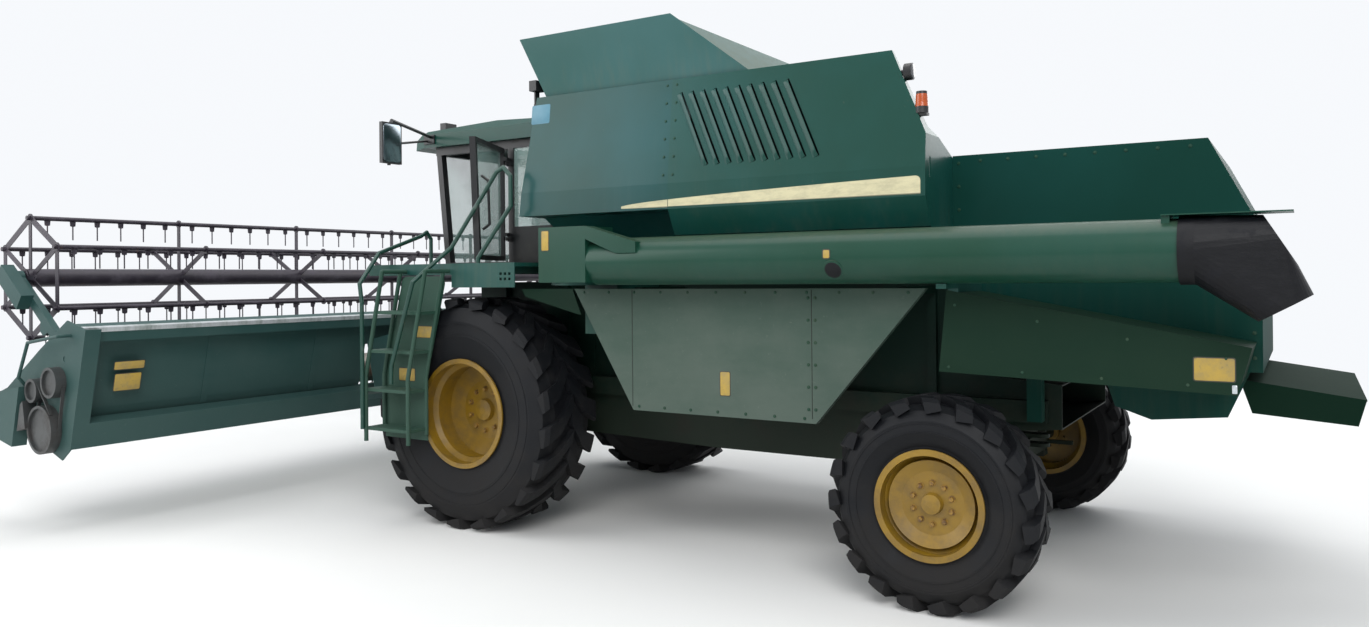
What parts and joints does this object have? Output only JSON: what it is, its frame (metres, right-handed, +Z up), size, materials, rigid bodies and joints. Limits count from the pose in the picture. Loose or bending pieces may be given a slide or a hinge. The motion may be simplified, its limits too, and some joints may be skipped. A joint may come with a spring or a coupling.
{
  "type": "combine harvester",
  "caption": "Self-propelled combine harvester with grain platform, pick-up reel, cab, grain tank, straw hood and side unloading tube.",
  "frame": {"origin": "on the ground under the middle of the machine with its header", "axes": "+X forward in the driving direction, +Y to the machine's left, +Z up"},
  "size_m": [9.8633, 6.94, 3.835],
  "materials": {
    "machine_green": "glossy",
    "dusty_green": "matte",
    "wheel_yellow": "satin",
    "tyre": "matte",
    "window_glass": "clear",
    "spout_rubber": "matte",
    "rod_chrome": "polished",
    "black_paint": "satin",
    "black_plastic": "matte",
    "black_trim": "satin",
    "worn_steel": "matte"
  },
  "bodies": {
    "chassis": {"main_frame": "machine_green", "separator_body": "machine_green", "straw_hood": "machine_green", "straw_walkers": "worn_steel", "grain_tank": "machine_green", "tank_extension": "dusty_green", "engine_hood": "machine_green", "engine": "worn_steel", "engine_fittings": "black_trim", "cooling_screen": "black_paint", "cab_frame": "black_paint", "cab_roof": "machine_green", "cab_glass": "window_glass", "operator_station": "black_plastic", "platform": "machine_green", "ladder": "machine_green", "handrails": "machine_green", "rear_shields": "dusty_green", "front_axle": "machine_green", "rear_axle": "machine_green", "unload_base": "machine_green", "mirrors": "black_trim", "work_lamps": "black_trim"},
    "door": {"door_frame": "black_paint", "door_glass": "window_glass"},
    "shield_left": {"side_shield_left": "dusty_green"},
    "shield_right": {"side_shield_right": "dusty_green"},
    "knuckle_left": {"knuckle_left": "machine_green"},
    "knuckle_right": {"knuckle_right": "machine_green"},
    "front_wheel_left": {"front_rim_left": "wheel_yellow", "front_tyre_left": "tyre"},
    "front_wheel_right": {"front_rim_right": "wheel_yellow", "front_tyre_right": "tyre"},
    "rear_wheel_left": {"rear_rim_left": "wheel_yellow", "rear_tyre_left": "tyre"},
    "rear_wheel_right": {"rear_rim_right": "wheel_yellow", "rear_tyre_right": "tyre"},
    "header": {"feeder_house": "machine_green", "header_frame": "machine_green", "cutter_bar": "worn_steel", "header_drive": "worn_steel"},
    "auger": {"header_auger": "worn_steel"},
    "reel_arms": {"reel_arms": "machine_green"},
    "reel_cam": {"reel_cam": "black_paint"},
    "reel": {"reel_spiders": "black_paint"},
    "bat_1": {"bat_1": "black_paint"},
    "bat_2": {"bat_2": "black_paint"},
    "bat_3": {"bat_3": "black_paint"},
    "bat_4": {"bat_4": "black_paint"},
    "bat_5": {"bat_5": "black_paint"},
    "bat_6": {"bat_6": "black_paint"},
    "unloader": {"unload_elbow": "machine_green", "unload_tube": "machine_green", "unload_spout": "spout_rubber"},
    "deflector": {"straw_deflector": "machine_green"},
    "lift_barrels": {"lift_barrels": "black_paint"},
    "lift_rods": {"lift_rods": "rod_chrome"},
    "reel_barrels": {"reel_barrels": "black_paint"},
    "reel_rods": {"reel_rods": "rod_chrome"}
  },
  "joints": [
    {"name": "front_wheel_left_spin", "type": "hinge", "parent": "chassis", "child": "front_wheel_left", "pos_m": [1.03, 1.33, 0.915], "axis": [0, 1, 0], "continuous": true},
    {"name": "front_wheel_right_spin", "type": "hinge", "parent": "chassis", "child": "front_wheel_right", "pos_m": [1.03, -1.33, 0.915], "axis": [0, 1, 0], "continuous": true},
    {"name": "steer_left", "type": "hinge", "parent": "chassis", "child": "knuckle_left", "pos_m": [-2.776, 1.18, 0.632], "axis": [0, 0, 1], "range_deg": [-35, 35]},
    {"name": "rear_wheel_left_spin", "type": "hinge", "parent": "knuckle_left", "child": "rear_wheel_left", "pos_m": [-2.776, 1.515, 0.632], "axis": [0, 1, 0], "continuous": true},
    {"name": "steer_right", "type": "hinge", "parent": "chassis", "child": "knuckle_right", "pos_m": [-2.776, -1.18, 0.632], "axis": [0, 0, 1], "range_deg": [-35, 35]},
    {"name": "rear_wheel_right_spin", "type": "hinge", "parent": "knuckle_right", "child": "rear_wheel_right", "pos_m": [-2.776, -1.515, 0.632], "axis": [0, 1, 0], "continuous": true},
    {"name": "header_lift", "type": "hinge", "parent": "chassis", "child": "header", "pos_m": [1.48, 0, 1.55], "axis": [0, 1, 0], "range_deg": [-3, 14]},
    {"name": "header_auger_spin", "type": "hinge", "parent": "header", "child": "auger", "pos_m": [3.83956, 0, 1.05616], "axis": [0, 1, 0], "continuous": true},
    {"name": "reel_lift", "type": "hinge", "parent": "header", "child": "reel_arms", "pos_m": [3.51477, 0, 1.38743], "axis": [0, 1, 0], "range_deg": [-2, 26]},
    {"name": "reel_cam_turn", "type": "hinge", "parent": "reel_arms", "child": "reel_cam", "pos_m": [4.35813, 0, 2.02294], "axis": [0, 1, 0], "range_deg": [-27, 3]},
    {"name": "reel_spin", "type": "hinge", "parent": "reel_cam", "child": "reel", "pos_m": [4.35813, 0, 2.02294], "axis": [0, 1, 0], "continuous": true},
    {"name": "bat_1_turn", "type": "hinge", "parent": "reel", "child": "bat_1", "pos_m": [4.79114, 0, 2.27294], "axis": [0, 1, 0], "continuous": true},
    {"name": "bat_2_turn", "type": "hinge", "parent": "reel", "child": "bat_2", "pos_m": [4.35813, 0, 2.52294], "axis": [0, 1, 0], "continuous": true},
    {"name": "bat_3_turn", "type": "hinge", "parent": "reel", "child": "bat_3", "pos_m": [3.92512, 0, 2.27294], "axis": [0, 1, 0], "continuous": true},
    {"name": "bat_4_turn", "type": "hinge", "parent": "reel", "child": "bat_4", "pos_m": [3.92512, 0, 1.77294], "axis": [0, 1, 0], "continuous": true},
    {"name": "bat_5_turn", "type": "hinge", "parent": "reel", "child": "bat_5", "pos_m": [4.35813, 0, 1.52294], "axis": [0, 1, 0], "continuous": true},
    {"name": "bat_6_turn", "type": "hinge", "parent": "reel", "child": "bat_6", "pos_m": [4.79114, 0, 1.77294], "axis": [0, 1, 0], "continuous": true},
    {"name": "unload_swing", "type": "hinge", "parent": "chassis", "child": "unloader", "pos_m": [-0.17, 1.65, 2.035], "axis": [0.3746, 0, -0.9272], "range_deg": [0, 95]},
    {"name": "door_swing", "type": "hinge", "parent": "chassis", "child": "door", "pos_m": [1.184, 0.87, 2.33], "axis": [0, 0, 1], "range_deg": [-115, 0]},
    {"name": "shield_left_lift", "type": "hinge", "parent": "chassis", "child": "shield_left", "pos_m": [-1.27, 1.446, 1.886], "axis": [1, 0, 0], "range_deg": [0, 75]},
    {"name": "shield_right_lift", "type": "hinge", "parent": "chassis", "child": "shield_right", "pos_m": [-1.27, -1.446, 1.886], "axis": [-1, 0, 0], "range_deg": [0, 75]},
    {"name": "deflector_tilt", "type": "hinge", "parent": "chassis", "child": "deflector", "pos_m": [-4.33, 0, 1.35], "axis": [0, 1, 0], "range_deg": [-25, 8]},
    {"name": "lift_cylinder_rock", "type": "hinge", "parent": "chassis", "child": "lift_barrels", "pos_m": [1.29, 0, 0.76], "axis": [0, 1, 0], "range_deg": [-4, 14]},
    {"name": "lift_cylinder_stroke", "type": "slide", "parent": "lift_barrels", "child": "lift_rods", "axis": [0.9899, 0, 0.1417], "range_m": [-0.21, 0.06]},
    {"name": "reel_ram_rock", "type": "hinge", "parent": "header", "child": "reel_barrels", "pos_m": [3.69641, 0, 0.96894], "axis": [0, 1, 0], "range_deg": [-2, 16]},
    {"name": "reel_ram_stroke", "type": "slide", "parent": "reel_barrels", "child": "reel_rods", "axis": [0.3338, 0, 0.9426], "range_m": [-0.2, 0.03]}
  ],
  "couplings": [
    {"joint": "steer_right", "follows": "steer_left", "ratio": 1},
    {"joint": "reel_cam_turn", "follows": "reel_lift", "ratio": -1},
    {"joint": "lift_cylinder_rock", "follows": "header_lift", "ratio": 0.8103},
    {"joint": "lift_cylinder_stroke", "follows": "header_lift", "m_per_rad": -0.774},
    {"joint": "reel_ram_rock", "follows": "reel_lift", "ratio": 0.5},
    {"joint": "reel_ram_stroke", "follows": "reel_lift", "m_per_rad": -0.3378},
    {"joint": "bat_1_turn", "follows": "reel_spin", "ratio": -1},
    {"joint": "bat_2_turn", "follows": "reel_spin", "ratio": -1},
    {"joint": "bat_3_turn", "follows": "reel_spin", "ratio": -1},
    {"joint": "bat_4_turn", "follows": "reel_spin", "ratio": -1},
    {"joint": "bat_5_turn", "follows": "reel_spin", "ratio": -1},
    {"joint": "bat_6_turn", "follows": "reel_spin", "ratio": -1}
  ]
}
